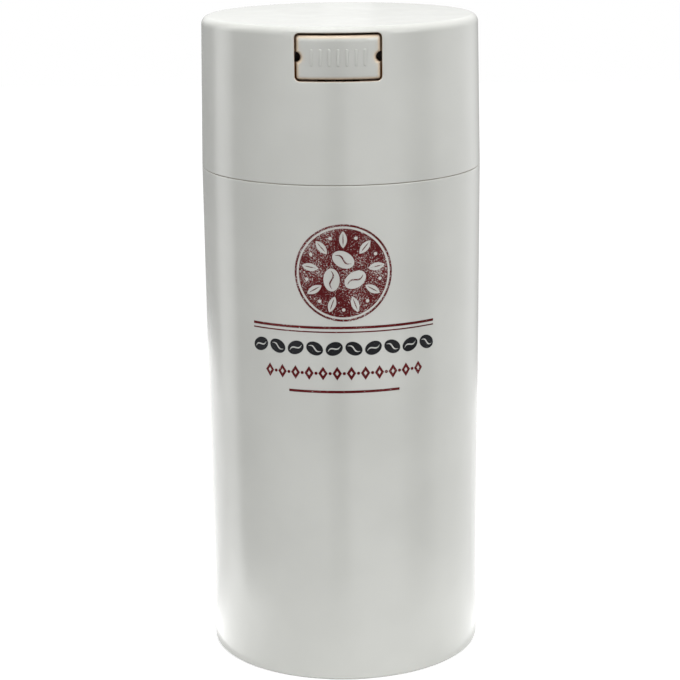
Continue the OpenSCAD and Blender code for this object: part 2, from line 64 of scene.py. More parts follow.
camera.rotation_euler = (Matrix.Rotation(camera_heading, 3, "Z")
                         @ Matrix.Rotation(math.radians(90) - camera_pitch, 3, "X")
                         @ Matrix.Rotation(camera_roll, 3, "Z")).to_euler()


# Outer body.
# A tapered cup, injection moulded in brown plastic and lacquered a glossy warm white on the outside.
# It stands on a ring round its hollow foot, and its rim is rebated for the vessel's flange.
class Value:
    """A number that a node gives, which Python's operators work on by adding Math nodes."""

    def __init__(self, tree, socket):
        self.tree = tree
        self.socket = socket

    def math(self, operation, *numbers):
        node = self.tree.add("ShaderNodeMath", {"operation": operation}, dict(enumerate(numbers)))
        return Value(self.tree, node.outputs[0])

    def __add__(self, other):
        return self.math("ADD", self, other)

    def __sub__(self, other):
        return self.math("SUBTRACT", self, other)

    def __rsub__(self, other):
        return self.math("SUBTRACT", other, self)

    def __mul__(self, other):
        return self.math("MULTIPLY", self, other)

    def __truediv__(self, other):
        return self.math("DIVIDE", self, other)

    def __rtruediv__(self, other):
        return self.math("DIVIDE", other, self)

    def __mod__(self, other):
        return self.math("MODULO", self, other)

    def __pow__(self, other):
        return self.math("POWER", self, other)

    def __lt__(self, other):
        return self.math("LESS_THAN", self, other)

    def __gt__(self, other):
        return self.math("GREATER_THAN", self, other)

    __radd__ = __add__
    __rmul__ = __mul__

    def floor(self):
        return self.math("FLOOR", self)

    def sin(self):
        return self.math("SINE", self)

    def cos(self):
        return self.math("COSINE", self)

    def least(self, other):
        return self.math("MINIMUM", self, other)

    def most(self, other):
        return self.math("MAXIMUM", self, other)

    def between(self, low, high):
        """0 below low, 1 above high, and a smooth rise between them."""
        node = self.tree.add("ShaderNodeMapRange", {"interpolation_type": "SMOOTHSTEP"},
                             {"Value": self, "From Min": low, "From Max": high})
        return Value(self.tree, node.outputs[0])


class Tree:
    """A node tree to which nodes are added with their settings and the values or links of their sockets."""

    def __init__(self, tree):
        self.tree = tree
        tree.nodes.clear()

    def add(self, kind, settings=None, sockets=None):
        node = self.tree.nodes.new(kind)
        for name, setting in (settings or {}).items():
            if name == "stops":
                ramp = node.color_ramp.elements
                while len(ramp) < len(setting):
                    ramp.new(0.5)
                for element, (place, colour) in zip(ramp, setting):
                    element.position, element.color = place, colour
            else:
                setattr(node, name, setting)
        for name, value in (sockets or {}).items():
            self.join(self.socket(node, name), value)
        return node

    def socket(self, node, name):
        if isinstance(name, int):
            return node.inputs[name]
        return next(s for s in node.inputs if name in (s.identifier, s.name))

    def join(self, socket, value):
        value = getattr(value, "socket", value)
        if isinstance(value, bpy.types.NodeSocket):
            self.tree.links.new(value, socket)
        else:
            socket.default_value = value

    def value(self, kind, settings=None, sockets=None, output=0):
        return Value(self, self.add(kind, settings, sockets).outputs[output])


class Finish(Tree):
    """A material: one Principled surface, whose sockets are set by name."""

    def __init__(self, name, **fixed):
        self.material = bpy.data.materials.new(name)
        self.material.use_nodes = True
        super().__init__(self.material.node_tree)
        self.surface = self.add("ShaderNodeBsdfPrincipled", {},
                                {key.replace("_", " ").title().replace("Ior", "IOR"): value
                                 for key, value in fixed.items()})
        self.add("ShaderNodeOutputMaterial", {}, {"Surface": self.surface.outputs[0]})
        self.place = self.add("ShaderNodeTexCoord").outputs["Object"]

    def noise(self, size, detail=2.0, roughness=0.5, stretch=(1, 1, 1)):
        """Even noise whose grains are about size metres wide, longer where stretch is above 1."""
        place = self.add("ShaderNodeMapping", {}, {"Vector": self.place,
                                                   "Scale": [1 / size / s for s in stretch]})
        return self.value("ShaderNodeTexNoise", {}, {"Vector": place.outputs[0], "Scale": 1.0,
                                                     "Detail": detail, "Roughness": roughness})

    def cells(self, size):
        """Distance from the nearest of many scattered points, in shares of size metres."""
        return self.value("ShaderNodeTexVoronoi", {}, {"Vector": self.place, "Scale": 1 / size})

    def mix(self, share, first, second):
        node = self.add("ShaderNodeMix", {"data_type": "RGBA"},
                        {"Factor_Float": share, "A_Color": first, "B_Color": second})
        return next(s for s in node.outputs if s.identifier == "Result_Color")

    def paint(self, **sockets):
        for key, value in sockets.items():
            self.join(self.socket(self.surface, key.replace("_", " ").title()), value)

    def bump(self, height, distance, strength=1.0):
        node = self.add("ShaderNodeBump", {}, {"Height": height, "Distance": distance,
                                               "Strength": strength})
        self.paint(normal=node.outputs[0])


def rgb(red, green, blue):
    """A colour as a screen shows it, from 0 to 255, as the linear colour that a node takes."""
    return [((c / 255 + 0.055) / 1.055) ** 2.4 if c > 10 else c / 3294 for c in (red, green, blue)] + [1]


brown = rgb(118, 76, 36)
white = rgb(209, 210, 205)
thin_white = rgb(220, 204, 182)


def lacquer(name, tone=207):
    """White lacquer over brown plastic. Its attribute is 1 where the lacquer covers, 0 where it is bare and
    between where it thins; on the button it also holds painted light, a paler half value on flanks that lie in
    shade.
    """
    finish = Finish(name, ior=1.5, coat_roughness=0.05, coat_ior=1.5)
    skin = finish.value("ShaderNodeAttribute", {"attribute_name": "skin"}, {}, "Fac")
    cloud = finish.noise(45 * mm, 3)
    grain = finish.noise(0.5 * mm, 2)
    smear = finish.noise(14 * mm, 4, 0.6, (1, 1, 2.5))
    shade = finish.mix(cloud.between(0.35, 0.7), rgb(tone - 1, tone, tone - 5), rgb(tone + 4, tone + 5, tone))
    edge = finish.mix(skin.between(0.35, 0.8), brown, thin_white)
    finish.paint(base_color=finish.mix(skin.between(0.75, 1.0), edge, shade),
                 roughness=0.21 + smear.between(0.4, 0.75) * 0.03 + grain * 0.01
                 + (1 - skin) * 0.16)
    finish.bump(finish.noise(3.5 * mm, 1) * 0.7 + grain * 0.3, 0.0015 * mm)
    return finish.material


white_lacquer = lacquer("white_lacquer")


def rounded_path(corners, turn=11):
    """Points of a path through corners (r, z, round), in millimetres, with an arc at each round and
    points close to the arcs' ends, which keep the shading of the straight stretches even."""
    path = []
    for i, corner in enumerate(corners):
        here = Vector(corner[:2])
        radius = corner[2] if len(corner) > 2 else 0
        if not radius or i in (0, len(corners) - 1):
            path.append(here)
            continue
        before = (Vector(corners[i - 1][:2]) - here).normalized()
        after = (Vector(corners[i + 1][:2]) - here).normalized()
        half = before.angle(after) / 2
        reach = radius / math.tan(half)
        centre = here + (before + after).normalized() * radius / math.sin(half)
        start = here + before * reach - centre
        sweep = start.angle_signed(here + after * reach - centre)
        count = max(2, round(math.degrees(abs(sweep)) / turn))
        for k in range(count + 1):
            path.append(centre + Matrix.Rotation(-sweep * k / count, 2) @ start)
    guarded = []
    near = 0.4
    for a, b in zip(path, path[1:]):
        guarded.append(a)
        along = (b - a).normalized()
        if (b - a).length > 4 * near:
            guarded += [a + along * near, b - along * near]
    return guarded + [path[-1]]


def outline_object(name, path):
    """The path as edges in the plane of X and Z, which the turning tree takes."""
    mesh = bpy.data.meshes.new(name)
    mesh.from_pydata([(p.x * mm, 0, p.y * mm) for p in path],
                     [(i, i + 1) for i in range(len(path) - 1)], [])
    piece = bpy.data.objects.new(name, mesh)
    bpy.context.scene.collection.objects.link(piece)
    return piece


def new_geometry_tree(name, inputs):
    """A Geometry Nodes tree with an input geometry and named inputs (name, kind, value)."""
    tree = bpy.data.node_groups.new(name, "GeometryNodeTree")
    face = tree.interface
    face.new_socket("Geometry", in_out="OUTPUT", socket_type="NodeSocketGeometry")
    face.new_socket("Geometry", in_out="INPUT", socket_type="NodeSocketGeometry")
    for title, kind, value in inputs:
        socket = face.new_socket(title, in_out="INPUT", socket_type="NodeSocket" + kind)
        if value is not None:
            socket.default_value = value
    nodes = Tree(tree)
    nodes.given = nodes.add("NodeGroupInput").outputs
    return nodes


def end_tree(nodes, geometry):
    """Ends a tree: instances made real, its own finish on every face, and the output."""
    real = nodes.add("GeometryNodeRealizeInstances", {}, {0: geometry})
    done = nodes.add("GeometryNodeSetMaterial", {}, {"Geometry": real.outputs[0],
                                                     "Material": nodes.given["Finish"]})
    nodes.add("NodeGroupOutput", {}, {0: done.outputs[0]})
    return nodes.tree


def grown(piece, tree, sharp=35, **inputs):
    """Runs a tree on the piece with these inputs, and keeps the result as the piece's plain mesh."""
    modifier = piece.modifiers.new(tree.name, "NODES")
    modifier.node_group = tree
    for item in tree.interface.items_tree:
        key = item.name.lower().replace(" ", "_")
        if item.in_out == "INPUT" and key in inputs:
            modifier[item.identifier] = inputs[key]
    bpy.context.view_layer.update()
    result = piece.evaluated_get(bpy.context.evaluated_depsgraph_get())
    mesh = bpy.data.meshes.new_from_object(result)
    piece.modifiers.clear()
    piece.data = mesh
    mesh.name = piece.name
    settle(mesh, inputs["finish"], sharp)
    return piece


def settle(mesh, finish, sharp=35):
    """Points a closed mesh's faces outwards, gives them one finish, and shades it smooth up to its
    sharp edges."""
    work = bmesh.new()
    work.from_mesh(mesh)
    bmesh.ops.remove_doubles(work, verts=work.verts, dist=0.0005 * mm)
    bmesh.ops.recalc_face_normals(work, faces=work.faces)
    for face in work.faces:
        face.material_index = 0
    work.to_mesh(mesh)
    work.free()
    mesh.materials.clear()
    mesh.materials.append(finish)
    mesh.shade_smooth()
    mesh.set_sharp_from_angle(angle=math.radians(sharp))


def turning_tree():
    """A grid whose columns are copies of the outline, turned round the Z axis and closed."""
    nodes = new_geometry_tree("turned", [("Segments", "Int", 288), ("Finish", "Material", None)])
    outline = nodes.given["Geometry"]
    rows = nodes.value("GeometryNodeAttributeDomainSize", {"component": "MESH"}, {0: outline}, "Point Count")
    columns = Value(nodes, nodes.given["Segments"])
    grid = nodes.add("GeometryNodeMeshGrid", {}, {"Vertices X": columns + 1, "Vertices Y": rows})
    index = nodes.value("GeometryNodeInputIndex")
    row = index % rows
    angle = (index / rows).floor() / columns * math.tau
    sample = nodes.add("GeometryNodeSampleIndex", {"data_type": "FLOAT_VECTOR"},
                       {"Geometry": outline, "Index": row})
    nodes.join(nodes.socket(sample, "Value"), nodes.add("GeometryNodeInputPosition").outputs[0])
    point = nodes.add("ShaderNodeSeparateXYZ", {}, {0: sample.outputs[0]})
    radius = Value(nodes, point.outputs["X"])
    place = nodes.add("ShaderNodeCombineXYZ", {}, {"X": radius * angle.cos(), "Y": radius * angle.sin(),
                                                   "Z": point.outputs["Z"]})
    moved = nodes.add("GeometryNodeSetPosition", {}, {"Geometry": grid.outputs[0],
                                                      "Position": place.outputs[0]})
    closed = nodes.add("GeometryNodeMergeByDistance", {}, {"Geometry": moved.outputs[0],
                                                           "Distance": 0.002 * mm})
    return end_tree(nodes, closed.outputs[0])


turned = turning_tree()


def skin_by(mesh, rule):
    """Stores the lacquer's attribute, which rule gives for each point of the mesh in millimetres."""
    skin = mesh.attributes.new("skin", "FLOAT", "POINT")
    skin.data.foreach_set("value", [rule(v.co / mm) for v in mesh.vertices])


def belongs(piece, body, slot, *nodes):
    """The piece rides on its body and stands for these CAD nodes, which are hidden. The slot is not used."""
    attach(piece, body)
    if nodes:
        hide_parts(*nodes)
    return piece


seam_z = 217.5
total_h = 282
seam_r = 60.5
foot_r = 59.65
top_r = 59.3
top_round = 3.4


def body_r(z):
    return foot_r + (seam_r - foot_r) * z / seam_z


def cap_r(z):
    turned_in = max(0, z - total_h + top_round)
    drop = top_round - math.sqrt(max(0, top_round ** 2 - turned_in ** 2))
    return seam_r + (top_r - seam_r) * (z - seam_z) / (total_h - seam_z) - drop


body_wall = 2.2
rim_z = seam_z - 0.5
body_outline = rounded_path([
    (0, 1.1), (1.5, 1.1, 0.2), (1.8, 1.5), (28, 1.5), (28.3, 1.7), (29.2, 1.7), (29.5, 1.5),
    (52.45, 1.5, 0.3), (53.95, 0, 0.3), (foot_r, 0, 1.2), (body_r(rim_z), seam_z, 0.5),
    (59.1, seam_z, 0.15), (59.1, 215.3), (58.29, 215.3, 0.15), (body_r(3.9) - body_wall, 3.9, 2), (0, 3.9)])
body = grown(outline_object("body_moulding", body_outline), turned, segments=288, finish=white_lacquer)
skin_by(body.data, lambda p: 1 if math.hypot(p.x, p.y) > body_r(p.z) - 0.45 or p.z < 1.75 else 0)
belongs(body, "container", "shell", "outer_body")

# Print on the body.
# Maroon and black inks, screen printed on the lacquer and worn to a fine speckle: a roundel of leaves
# and beans, a row of black beans under a double rule, and a row of diamonds over a short rule.
def area_fill(work, loops, rims, place, spacing):
    """Fills the area between loops of flat points with triangles. The rims are the loops' vertices, and
    new vertices inside, which let the area follow a curve, are put by place(x, y)."""
    points, edges, verts = [], [], []
    for loop, rim in zip(loops, rims):
        first = len(points)
        points += [Vector(p) for p in loop]
        edges += [(first + i, first + (i + 1) % len(loop)) for i in range(len(loop))]
        verts += rim
    sides = [(points[a].copy(), points[b].copy()) for a, b in edges]

    def inside(p):
        crossings = 0
        for a, b in sides:
            if (a.y > p.y) != (b.y > p.y) and p.x < a.x + (b.x - a.x) * (p.y - a.y) / (b.y - a.y):
                crossings += 1
        return crossings % 2

    def clear(p):
        for a, b in sides:
            along = b - a
            t = min(1, max(0, (p - a).dot(along) / max(along.length_squared, 1e-12)))
            if (p - a - along * t).length < 0.45 * spacing:
                return False
        return True

    low_x, high_x = min(p.x for p in points), max(p.x for p in points)
    low_y, high_y = min(p.y for p in points), max(p.y for p in points)
    for i in range(1, int((high_x - low_x) / spacing) + 1):
        for k in range(1, int((high_y - low_y) / spacing) + 1):
            p = Vector((low_x + i * spacing, low_y + k * spacing))
            if inside(p) and clear(p):
                points.append(p)
                verts.append(work.verts.new(place(p.x, p.y)))
    flat, _, faces, origin, _, _ = delaunay_2d_cdt(points, edges, [], 0, 1e-6)
    for face in faces:
        a, b, c = (flat[i] for i in face)
        corners = [verts[origin[i][0]] for i in face]
        if abs((b - a).cross(c - a)) > 1e-5 and inside((a + b + c) / 3) and len(set(corners)) == 3:
            work.faces.new(corners)


def loft(work, rings, closed=True):
    """Faces between rings of vertices that have as many points each."""
    for a, b in zip(rings, rings[1:]):
        count = len(a)
        for i in range(count if closed else count - 1):
            k = (i + 1) % count
            work.faces.new((a[i], a[k], b[k], b[i]))


print_centre = math.radians(1.2)
ink_over = 0.04
ink_under = 0.05


def on_body(s, z, proud):
    """Point of the body's wall at arc s from the print's centre line, in metres."""
    r = body_r(z) + proud
    a = print_centre + s / seam_r
    return Vector((r * math.sin(a), -r * math.cos(a), z)) * mm


def ring_of(s, z, across, up, tilt=0, count=28):
    """An ellipse's points."""
    turn = Matrix.Rotation(math.radians(tilt), 2)
    points = []
    for k in range(count):
        a = math.tau * k / count
        points.append(Vector((s, z)) + turn @ Vector((across * math.cos(a), up * math.sin(a))))
    return points


def leaf(s, z, length, width, tilt, count=9):
    """A leaf's points, from tip to tip and back."""
    turn = Matrix.Rotation(math.radians(tilt), 2)
    edge = [Vector((length * (t / count - 0.5), width / 2 * math.sin(math.pi * t / count) ** 0.8))
            for t in range(count + 1)]
    edge += [Vector((p.x, -p.y)) for p in edge[-2:0:-1]]
    return [Vector((s, z)) + turn @ p for p in edge]


def slit(s, z, length, width, tilt, count=10):
    """The bent cleft of a bean."""
    turn = Matrix.Rotation(math.radians(tilt), 2)
    sides = [], []
    for k in range(count + 1):
        t = k / count
        along = length * (t - 0.5)
        bend = 0.11 * length * math.sin(math.tau * t)
        half = width / 2 * (0.25 + 0.75 * math.sin(math.pi * t))
        for side, way in zip(sides, (1, -1)):
            side.append(Vector((s, z)) + turn @ Vector((along, bend + way * half)))
    return sides[0] + sides[1][::-1]


def bar(s0, s1, z, thick):
    """A rule's points, close enough together to follow the wall."""
    count = math.ceil((s1 - s0) / 1.5)
    low = [Vector((s0 + (s1 - s0) * k / count, z - thick / 2)) for k in range(count + 1)]
    return low + [Vector((p.x, z + thick / 2)) for p in low[::-1]]


def inked(name, loops, spacing=1.6):
    """A closed skin of ink whose outlines and holes are the loops, on the body's wall."""
    work = bmesh.new()
    front = [[work.verts.new(on_body(*p, ink_over)) for p in loop] for loop in loops]
    back = [[work.verts.new(on_body(*p, -ink_under)) for p in loop] for loop in loops]
    area_fill(work, loops, front, lambda s, z: on_body(s, z, ink_over), spacing)
    area_fill(work, loops, back, lambda s, z: on_body(s, z, -ink_under), spacing)
    for pair in zip(front, back):
        loft(work, pair)
    mesh = bpy.data.meshes.new(name)
    work.to_mesh(mesh)
    work.free()
    piece = bpy.data.objects.new(name, mesh)
    bpy.context.scene.collection.objects.link(piece)
    return piece


def ink(name, colour, thin, worn):
    """Ink in this colour, thinner in clouds and worn through to the lacquer in specks."""
    finish = Finish(name, ior=1.5, specular_ior_level=0.12)
    cloud = finish.noise(9 * mm, 3)
    grit = finish.noise(0.42 * mm, 3, 0.65)
    gone = (grit + cloud * 0.28).between(worn, worn + 0.025)
    finish.paint(base_color=finish.mix(gone, finish.mix(cloud.between(0.35, 0.65), colour, thin), white),
                 roughness=0.4 + grit * 0.1)
    finish.bump(grit, 0.003 * mm)
    return finish.material


def ranged_tree():
    """Copies of a mesh round the Z axis, a step apart."""
    nodes = new_geometry_tree("ranged", [("Count", "Int", 8), ("Start", "Float", 0.0), ("Step", "Float", 0.1),
                                         ("Finish", "Material", None)])
    given = nodes.given
    places = nodes.add("GeometryNodeMeshLine", {}, {"Count": given["Count"], "Offset": (0, 0, 0)})
    angle = nodes.value("GeometryNodeInputIndex") * Value(nodes, given["Step"]) + Value(nodes, given["Start"])
    turn = nodes.add("ShaderNodeCombineXYZ", {}, {"Z": angle})
    copies = nodes.add("GeometryNodeInstanceOnPoints", {}, {"Points": places.outputs[0],
                                                            "Instance": given["Geometry"],
                                                            "Rotation": turn.outputs[0]})
    return end_tree(nodes, copies.outputs[0])


ranged = ranged_tree()
maroon_ink = ink("maroon_ink", rgb(82, 12, 16), rgb(96, 24, 27), 0.80)
worn_maroon_ink = ink("worn_maroon_ink", rgb(82, 12, 16), rgb(98, 26, 28), 0.72)
black_ink = ink("black_ink", rgb(16, 17, 20), rgb(28, 29, 32), 0.86)

roundel_z = 181
roundel = [ring_of(0, roundel_z, 20.6, 20.6, 0, 96), ring_of(0, roundel_z, 19.7, 19.7, 0, 96),
           ring_of(0, roundel_z, 18.8, 18.8, 0, 96)]
for k in range(3):
    a = math.radians(90 + 120 * k)
    s, z = 5.7 * math.cos(a), roundel_z + 5.7 * math.sin(a)
    tilt = math.degrees(a) + 62
    roundel += [ring_of(s, z, 4.9, 3.4, tilt), slit(s, z, 7.6, 0.75, tilt)]
for k in range(9):
    a = math.radians(90 + 40 * k)
    s, z = 14.1 * math.cos(a), roundel_z + 14.1 * math.sin(a)
    roundel += [leaf(s, z, 7.2, 3.3, math.degrees(a)), leaf(s, z, 5.2, 0.45, math.degrees(a))]
    a += math.radians(20)
    roundel.append(ring_of(15.6 * math.cos(a), roundel_z + 15.6 * math.sin(a), 0.75, 0.75, 0, 12))
roundel = inked("print_roundel", roundel)
settle(roundel.data, worn_maroon_ink)
rules = inked("print_rules", [bar(-41, 41, 157.7, 1.1), bar(-41, 41, 155.8, 0.55), bar(-24, 24, 130.0, 1.1)])
settle(rules.data, maroon_ink)

bean_pitch = 8.3
pair = []
for k, tilt in ((-4.5, 24), (-3.5, -24)):
    pair += [ring_of(k * bean_pitch, 148.7, 3.75, 2.85, tilt), slit(k * bean_pitch, 148.7, 5.8, 0.7, tilt)]
beans = inked("print_beans", pair)
grown(beans, ranged, count=5, start=0.0, step=2 * bean_pitch / seam_r, finish=black_ink)
diamond = [Vector((-2.0, 0)), Vector((0, -3)), Vector((2.0, 0)), Vector((0, 3))]
diamonds = inked("print_diamonds", [[Vector((-33, 138)) + p * size for p in diamond] for size in (1, 0.36)])
studs = inked("print_studs", [ring_of(-30, 138, 0.7, 0.7, 0, 12)])
for piece, count in ((diamonds, 12), (studs, 11)):
    grown(piece, ranged, count=count, start=0.0, step=6 / seam_r, finish=maroon_ink)
for piece in (roundel, rules, beans, diamonds, studs):
    belongs(piece, "container", None)

# Inner vessel.
# The cup that holds the coffee, moulded in natural food-safe plastic and hung in the body by its flange.
# Its neck stands above the seam, where the cap slides over it and the seal wipes its bore.
natural = Finish("natural_plastic", ior=1.5, subsurface_weight=0.15, subsurface_radius=(0.004, 0.0035, 0.003),
                 subsurface_scale=1.0)
haze = natural.noise(22 * mm, 3)
rubbed = natural.noise(3 * mm, 4, 0.6, (1, 1, 9))
natural.paint(base_color=natural.mix(haze.between(0.3, 0.7), rgb(224, 222, 213), rgb(229, 228, 221)),
              roughness=0.26 + rubbed.between(0.45, 0.8) * 0.1)
natural.bump(natural.noise(0.7 * mm, 2), 0.005 * mm)
vessel_outline = rounded_path([
    (0, 4.3), (56.3, 4.3, 8), (57.07, 215.3, 0.3), (59.0, 215.3, 0.15), (59.0, seam_z, 0.15),
    (57.8, seam_z, 0.25), (57.08, 255.5), (57.08, 256.2, 0.65), (55.08, 256.2, 0.65), (55.08, seam_z),
    (54.27, 6.5, 6), (2.2, 6.5, 0.3), (2.0, 6.7, 0.1), (0, 6.7)])
vessel = grown(outline_object("vessel_moulding", vessel_outline), turned, segments=256,
               finish=natural.material)
belongs(vessel, "container", "vessel", "inner_vessel")


# Cap shell.
# A drafted lid in the body's plastic and lacquer, open below, with a window in front for the button.
# A groove inside its wall holds the inner cap, and ribs under its roof keep that from moving up.
def front_view(rim):
    """Where vertices are as seen from the front, in millimetres."""
    return [(v.co.x / mm, v.co.z / mm) for v in rim]


def hole_loop(work):
    """The open edges of a mesh as ordered loops of vertices."""
    open_edges = {e for e in work.edges if len(e.link_faces) == 1}
    loops = []
    while open_edges:
        edge = open_edges.pop()
        loop = [edge.verts[0], edge.verts[1]]
        while True:
            step = next((e for e in loop[-1].link_edges if e in open_edges), None)
            if step is None:
                break
            open_edges.discard(step)
            loop.append(step.other_vert(loop[-1]))
        loops.append(loop[:-1] if loop[0] == loop[-1] else loop)
    return loops


window_w = 35.6
window_h = 19.5
window_mid = total_h - 2.5 - window_h / 2
window_corner = 2
cap_wall = 2.2


def rounded_window(grow):
    """The window's outline, grown outwards, as (x, z) points about the window's middle."""
    ring = []
    across, up = window_w / 2 - window_corner, window_h / 2 - window_corner
    for quarter, (sx, sz) in enumerate(((1, 1), (-1, 1), (-1, -1), (1, -1))):
        for k in range(9):
            a = math.radians(quarter * 90 + k * 90 / 8)
            r = window_corner + grow
            ring.append((sx * across + r * math.cos(a), sz * up + r * math.sin(a)))
        side = 22 if quarter % 2 == 0 else 12
        far = ((-sx * across, sz * (up + window_corner + grow)) if quarter % 2 == 0
               else (sx * (across + window_corner + grow), -sz * up))
        start = ring[-1]
        for k in range(1, side):
            t = k / side
            ring.append((start[0] + (far[0] - start[0]) * t, start[1] + (far[1] - start[1]) * t))
    return [(x, z + window_mid) for x, z in ring]


def on_wall(x, z, inset, back=0):
    """Point of the cap's front wall, drawn in by inset and moved back, in metres."""
    r = cap_r(z) - inset
    return Vector((x, -math.sqrt(r * r - x * x) + back, z)) * mm


cap_outline = rounded_path([
    (0, total_h), (top_r + 0.037, total_h, top_round), (60.49, 217.68, 0.25), (58.29, 217.68, 0.25),
    (57.56, 257.2), (58.15, 257.2), (58.15, 258.4), (57.54, 258.4), (57.141, 279.8), (0, 279.8)])
cap = grown(outline_object("cap_moulding", cap_outline), turned, segments=288, finish=white_lacquer)
work = bmesh.new()
work.from_mesh(cap.data)
# The wall gets rows just outside the window, and the patches between them are then taken out
for z in (256, 279.93, 258.6, 279.7):
    bmesh.ops.bisect_plane(work, geom=[*work.verts, *work.edges, *work.faces], plane_no=(0, 0, 1),
                           plane_co=(0, 0, z * mm), dist=0.0005 * mm)
patches = {"outside": [], "inside": []}
for face in work.faces:
    p = face.calc_center_median() / mm
    r = math.hypot(p.x, p.y)
    if p.y < 0 and abs(math.degrees(math.atan2(p.x, -p.y))) < 22.5:
        if 256 < p.z < 279.93 and r > cap_r(p.z) - 0.3:
            patches["outside"].append(face)
        elif 258.6 < p.z < 279.7 and r < cap_r(p.z) - cap_wall + 0.3 and r > cap_r(p.z) - cap_wall - 0.4:
            patches["inside"].append(face)
bmesh.ops.delete(work, geom=patches["outside"] + patches["inside"], context="FACES")
outer_hole, inner_hole = sorted(hole_loop(work), key=lambda loop: min(v.co.y for v in loop))
window_round = 0.4
steps = 4
rings = []
for k in range(steps + 1):
    t = math.radians(90) * k / steps
    grow = window_round * (1 - math.sin(t))
    back = window_round * (1 - math.cos(t))
    rings.append([work.verts.new(on_wall(x, z, 0, back)) for x, z in rounded_window(grow)])
rings.append([work.verts.new(on_wall(x, z, cap_wall)) for x, z in rounded_window(0)])
loft(work, rings)
for hole, ring, inset in ((outer_hole, rings[0], 0), (inner_hole, rings[-1], cap_wall)):
    area_fill(work, [front_view(hole), front_view(ring)], [hole, ring],
              lambda x, z: on_wall(x, z, inset), 2.0)
work.to_mesh(cap.data)
work.free()
settle(cap.data, white_lacquer)


def cap_skin(p):
    """Lacquer covers the outside, thins over the window's rounded edge and stops there."""
    r = math.hypot(p.x, p.y)
    depth = cap_r(p.z) - r if p.z < total_h - top_round + 1.5 else 0
    return min(1, max(0, 1 - depth / 0.9))


skin_by(cap.data, cap_skin)
belongs(cap, "cap", "shell", "cap_shell")


def wall_block(work, xs, z0, z1, front_inset, back_inset):
    """A closed block between two depths behind the cap's outer wall, with a slice at each x."""
    slices = [[work.verts.new(on_wall(x, z, inset)) for z, inset in (
        (z0, front_inset), (z1, front_inset), (z1, back_inset), (z0, back_inset))] for x in xs]
    loft(work, slices)
    work.faces.new(slices[0])
    work.faces.new(slices[-1])


def made(name, work, finish, sharp=35):
    """The worked mesh as a piece in this finish."""
    mesh = bpy.data.meshes.new(name)
    work.to_mesh(mesh)
    work.free()
    piece = bpy.data.objects.new(name, mesh)
    bpy.context.scene.collection.objects.link(piece)
    if finish:
        settle(mesh, finish, sharp)
    return piece


work = bmesh.new()
wall_block(work, (-0.8, 0.8), 258.8, 280.9, 1.1, 3.6)
ribs = grown(made("stop_ribs", work, None), ranged, count=8, start=math.radians(40), step=math.radians(40),
             finish=white_lacquer)
belongs(ribs, "cap", "shell")

# Press button.
# A cup in the shell's plastic and lacquer that stands in the window, ribbed in front for the thumb. Stops
# behind the window's sides keep it in, and its tongue reaches back to the valve's lever.
button_w = 34.2
button_h = 18.1
button_corner = 1.3
side_round = 1.3
head_round = 2.8
head_gap = 0.2
foot_round = 1.7
round_depth = 1.8
face_proud = 0.7
button_wall = 1.8
notch_x = 17.45
notch_r = 2.1
skirt_back = 49.5


def button_ring(inset, up, down, notch):
    """The button's outline as (x, z) points, drawn in at the sides, the top and the foot, with side
    notches of this radius."""
    side = button_w / 2 - inset
    corner = max(0.25, button_corner - inset)
    half = math.acos((notch_x - side) / notch)
    foot = notch * math.sin(half)
    halves = []
    for end in (button_h / 2 - head_gap - up, button_h / 2 - down):
        quarter = [(notch_x - notch * math.cos(half * k / 6), notch * math.sin(half * k / 6)) for k in range(6)]
        quarter += [(side, foot + (end - corner - foot) * k / 5) for k in range(5)]
        quarter += [(side - corner + corner * math.cos(math.radians(15 * k)),
                     end - corner + corner * math.sin(math.radians(15 * k))) for k in range(6)]
        quarter += [((side - corner) * (1 - k / 14), end) for k in range(15)]
        halves.append(quarter + [(-x, z) for x, z in quarter[-2::-1]])
    return [(x, window_mid + z) for x, z in halves[0] + [(x, -z) for x, z in halves[1][-2:0:-1]]]


def ease(value, low, high):
    """Rises smoothly from 0 to 1 between low and high."""
    t = min(1, max(0, (value - low) / (high - low)))
    return t * t * (3 - 2 * t)


def on_face(x, z, back=0):
    """Point of the button's face, which stands a little proud of the cap's wall in the middle."""
    lean = 0.04 * (z - window_mid)
    return on_wall(x, z, -(face_proud + lean) * (1 - ease(abs(x), 10.5, 17.1)), back)


def bar_back(work, r, x, z, back, inset, segments=24, chamfer=0.3):
    """A closed round bar from a depth behind the front wall to the plane y = back, with a chamfered end."""
    rings = []
    for radius, y in ((r, None), (r, back - chamfer), (r - chamfer, back)):
        rings.append([])
        for k in range(segments):
            a = math.tau * k / segments
            px, pz = x + radius * math.cos(a), z + radius * math.sin(a)
            rings[-1].append(work.verts.new(on_wall(px, pz, inset) if y is None else Vector((px, y, pz)) * mm))
    loft(work, rings)
    work.faces.new(rings[0])
    work.faces.new(rings[-1])


def flat_block(work, low, high):
    """A closed box between two corners."""
    rings = [[work.verts.new(Vector((x, y, z)) * mm) for x, y in (
        (low[0], low[1]), (high[0], low[1]), (high[0], high[1]), (low[0], high[1]))] for z in (low[2], high[2])]
    loft(work, rings)
    work.faces.new(rings[0])
    work.faces.new(rings[1])


